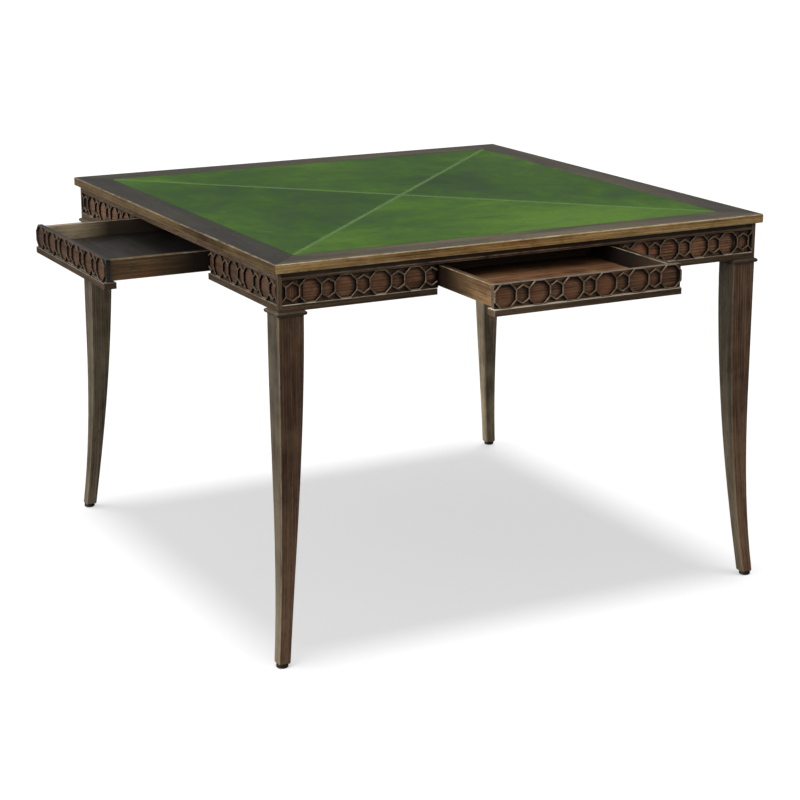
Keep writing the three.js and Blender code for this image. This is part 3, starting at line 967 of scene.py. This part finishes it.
def leg(corner):
    """A sabre leg whose grain follows its sweep, with the post behind the carving above it."""
    node = "leg_" + corner
    mesh, arris = refined(node, LEG_ROUND, segments=3)
    middles, normals = face_facts(mesh)
    lay_grain(mesh, 2, curve=straightener(node))
    mark_edges(mesh, arris)
    mark_depth(mesh, -UP)
    side_y, side_x = corner.split("_")
    faces_y = np.abs(normals[:, 1]) > np.abs(normals[:, 0])
    far = np.where(faces_y, normals[:, 1], normals[:, 0]) > 0
    post = middles[:, 2] > APRON_FOOT
    # The faces looking front and left are lit and shaded copies for each corner: painted light.
    paint(
        mesh,
        leg_left_wood[corner],
        (leg_front_wood[corner], faces_y),
        (leg_far_wood, far),
        (drawer_ground_wood[side_x], post),
        (drawer_ground_wood[side_y], post & faces_y),
    )
    place_piece(node, mesh)


for name in CORNERS:
    leg(name)
    board("leg_collar_" + name, 0, collar_wood, SMALL_ROUND)
    board("foot_glide_" + name, 2, glide_plastic, SMALL_ROUND)

# ---------------------------------------------------------------- apron and drawers

FRET_ROUND = 0.7 * MM
FRONT_ROUND = 0.9 * MM
BOX_ROUND = 1.2 * MM
BOTTOM_ROUND = 0.4 * MM
APRON_ROUND = 0.6 * MM
WALL_BACK = 1.2 * MM                # carved walls lie at least this far behind the apron's face
WALL_FOOT = 2 * MM                  # and at least this far above its foot
LEDGE_REACH = 1 * MM                # how far from its level a ledge's faces may lie
SLACK = 0.5 * MM                    # allowed when a face is told by where its middle lies


def is_ledge(middles, normals):
    """Which faces are the top of the base moulding, with its front arris."""
    return (np.abs(middles[:, 2] - MOULDING_TOP) < LEDGE_REACH) & looking(normals, UP, 0.3)


def carved(node, side, stiles=False):
    """Carving: pale arrises on its fronts, partly worn and partly painted highlight, and near-black
    walls in its holes.

    The band above the fretwork, painted darker as shade under the top's overhang, and the moulding
    below it have their own woods; the moulding's top is painted pale, partly worn and partly
    painted highlight. An apron's carving ends in upright stiles.
    """
    mesh, arris = refined(node, FRET_ROUND, whole_faces=False)
    middles, normals = face_facts(mesh)
    out = np.array(OUTWARD[side])
    along = long_axis(side)
    place = middles - np.array(CENTRE)
    from_middle = np.abs(place[:, along])
    stile_inside = FACE_OUT - STILE_WIDTH
    wall = (np.abs(normals @ out) < 0.3) & (place @ out < FACE_OUT - WALL_BACK) & ~arris
    wall &= from_middle < stile_inside + SLACK
    wall &= place[:, 2] > APRON_FOOT + WALL_FOOT
    lay_grain(mesh, along, upright=from_middle > stile_inside if stiles else None)
    mark_edges(mesh, arris)
    paint(
        mesh,
        fret_wood[side],
        (moulding_wood[side], place[:, 2] < MOULDING_TOP),
        (frieze_wood[side], place[:, 2] > FRIEZE_FOOT),
        (dark_wall_material, wall),
        (ledge_wood[side], is_ledge(middles, normals)),
    )
    place_piece(node, mesh)


def drawer_front(side):
    """The drawer's front board, with the base moulding under it."""
    node = f"drawer_{side}_front_board"
    mesh, arris = refined(node, FRONT_ROUND)
    middles, normals = face_facts(mesh)
    lay_grain(mesh, long_axis(side))
    mark_edges(mesh, arris)
    # Painted light and shade: the front drawer's rim is painted lit, other rims and ends in shade.
    rim_wood, end_wood = (shadow_wood, shadow_wood)
    if side == "front":
        rim_wood, end_wood = (lit_rim_wood, drawer_end_wood)
    paint(
        mesh,
        end_wood,
        (rim_wood, looking(normals, UP)),
        (drawer_ground_wood[side], looking(normals, OUTWARD[side])),
        (moulding_wood[side], middles[:, 2] < MOULDING_TOP + SLACK),
        (ledge_wood[side], is_ledge(middles, normals)),
    )
    place_piece(node, mesh)


def drawer_box(side):
    """The drawer's two sides, its back and its bottom."""
    out = OUTWARD[side]
    across = long_axis(side)
    # Lit and shaded copies of the drawer wood, board by board; backs and some inner sides are
    # painted dark, as shade.
    if across == 0:
        woods = (drawer_wood, dim_drawer_wood, red_bottom_wood)
    else:
        woods = (pale_drawer_wood, near_drawer_wood, grey_bottom_wood)
    left_wood, right_wood, bottom_wood = woods
    board(f"drawer_{side}_side_left", 1 - across, left_wood, BOX_ROUND, depth_from=out)
    board(f"drawer_{side}_side_right", 1 - across, right_wood, BOX_ROUND, depth_from=out)
    board(f"drawer_{side}_back", across, dim_drawer_wood, depth_from=out)
    board(f"drawer_{side}_bottom", across, bottom_wood, BOTTOM_ROUND, depth_from=out)


for name in SIDES:
    board("apron_board_" + name, long_axis(name), ground_wood[name], APRON_ROUND, FAR_END[name])
    carved("apron_facing_" + name, name, stiles=True)
    board("runner_frame_" + name, 1 - long_axis(name), core_wood)
    drawer_front(name)
    carved(f"drawer_{name}_fretwork", name)
    drawer_box(name)

# ---------------------------------------------------------------- studio

FLOOR_HALF = 30.0
FLOOR_SHADE = 0.25                  # its colour as the camera sees it
FLOOR_GLOW = 0.56                   # light of its own that only the camera sees
FLOOR_BOUNCE = 0.05                 # its colour for light thrown back at the table
SKY_LOW = 0.07
SKY_LOBES = [                       # direction, how narrow, strength
    ((-0.96, 0.05, 0.27), 5, 4.4),  # a big soft window on the left
    ((0.05, -0.7, 0.7), 4, 0.5),    # a weak fill above the front
    ((0.5, 0.7, 0.5), 3, 0.2),
    ((0, 0, 1), 2, 0.25),
]
SHADOW_POWER = 4.4
SHADOW_SOFTNESS = math.radians(13)
LENS = 92.15
SENSOR = 36.0
VIEW_END = 200.0
CAMERA_AZIMUTH = math.radians(-27.809)
CAMERA_ELEVATION = math.radians(15.585)
CAMERA_PLACE = Vector((-1.9858, -3.7581, 1.5004))   # from the table's centre, on the floor


def pale_floor():
    """A plain white studio floor, lit a little from below, that throws little light back up."""
    s = material_shader("studio_floor")
    seen = s.add("ShaderNodeLightPath").outputs["Is Camera Ray"]
    return s.finish({
        "Base Color": s.span(seen, 0, 1, FLOOR_BOUNCE, FLOOR_SHADE),
        "Roughness": 0.9,
        "Specular IOR Level": 0.0,
        "Emission Color": WHITE,
        "Emission Strength": s.times(seen, FLOOR_GLOW),
    })


def floor():
    """A wide plain floor, no part of the table."""
    mesh = bpy.data.meshes.new("studio_floor")
    half = FLOOR_HALF
    corners = [(-half, -half, 0), (half, -half, 0), (half, half, 0), (-half, half, 0)]
    mesh.from_pydata(corners, [], [(0, 1, 2, 3)])
    mesh.materials.append(pale_floor())
    made = add_object("studio_floor", mesh)
    return made


def studio_world():
    """White surroundings, brightest on the left, seen as plain white by the camera."""
    world = bpy.data.worlds.new("studio_world")
    bpy.context.scene.world = world
    s = Shader(world)
    direction = s.add("ShaderNodeTexCoord").outputs["Generated"]
    strength = SKY_LOW
    for towards, narrow, power in SKY_LOBES:
        dot = s.vector("DOT_PRODUCT", direction, Vector(towards).normalized())
        facing = s.math("MAXIMUM", dot.outputs["Value"], 0.0)
        strength = s.plus(s.times(s.math("POWER", facing, narrow), power), strength)
    lit = s.add("ShaderNodeBackground", {"Color": WHITE, "Strength": strength})
    seen = s.add("ShaderNodeBackground", {"Color": WHITE})
    by_camera = s.add("ShaderNodeLightPath").outputs["Is Camera Ray"]
    inputs = {0: by_camera, 1: lit.outputs[0], 2: seen.outputs[0]}
    choose = s.add("ShaderNodeMixShader", inputs)
    s.add("ShaderNodeOutputWorld", {"Surface": choose.outputs[0]})


def shadow_lamp(ground):
    """A broad lamp straight above that lights only the floor, for the table's soft shadow."""
    lamp = bpy.data.lights.new("overhead", "SUN")
    lamp.energy = SHADOW_POWER
    lamp.angle = SHADOW_SOFTNESS
    made = add_object("overhead", lamp)
    lit_only = bpy.data.collections.new("lit_by_overhead")
    lit_only.objects.link(ground)
    made.light_linking.receiver_collection = lit_only
    blockers = bpy.data.collections.new("shadows_overhead")
    for node, piece in finished.items():
        if BODY_OF_NODE[node] == "table":
            blockers.objects.link(piece)
    made.light_linking.blocker_collection = blockers


def camera():
    """The photograph's view: azimuth 0 looks along +Y."""
    lens = bpy.data.cameras.new("camera")
    lens.lens = LENS
    lens.sensor_width = SENSOR
    lens.clip_end = VIEW_END
    made = add_object("camera", lens)
    level = math.cos(CAMERA_ELEVATION)
    back = Vector((
        math.sin(CAMERA_AZIMUTH) * level,
        -math.cos(CAMERA_AZIMUTH) * level,
        math.sin(CAMERA_ELEVATION),
    ))
    made.location = CENTRE + CAMERA_PLACE
    made.rotation_mode = "QUATERNION"
    made.rotation_quaternion = (-back).to_track_quat("-Z", "Y")
    bpy.context.scene.camera = made


studio_world()
shadow_lamp(floor())
camera()
scene = bpy.context.scene
scene.view_settings.view_transform = "Standard"
scene.view_settings.look = "None"
scene.cycles.use_denoising = True
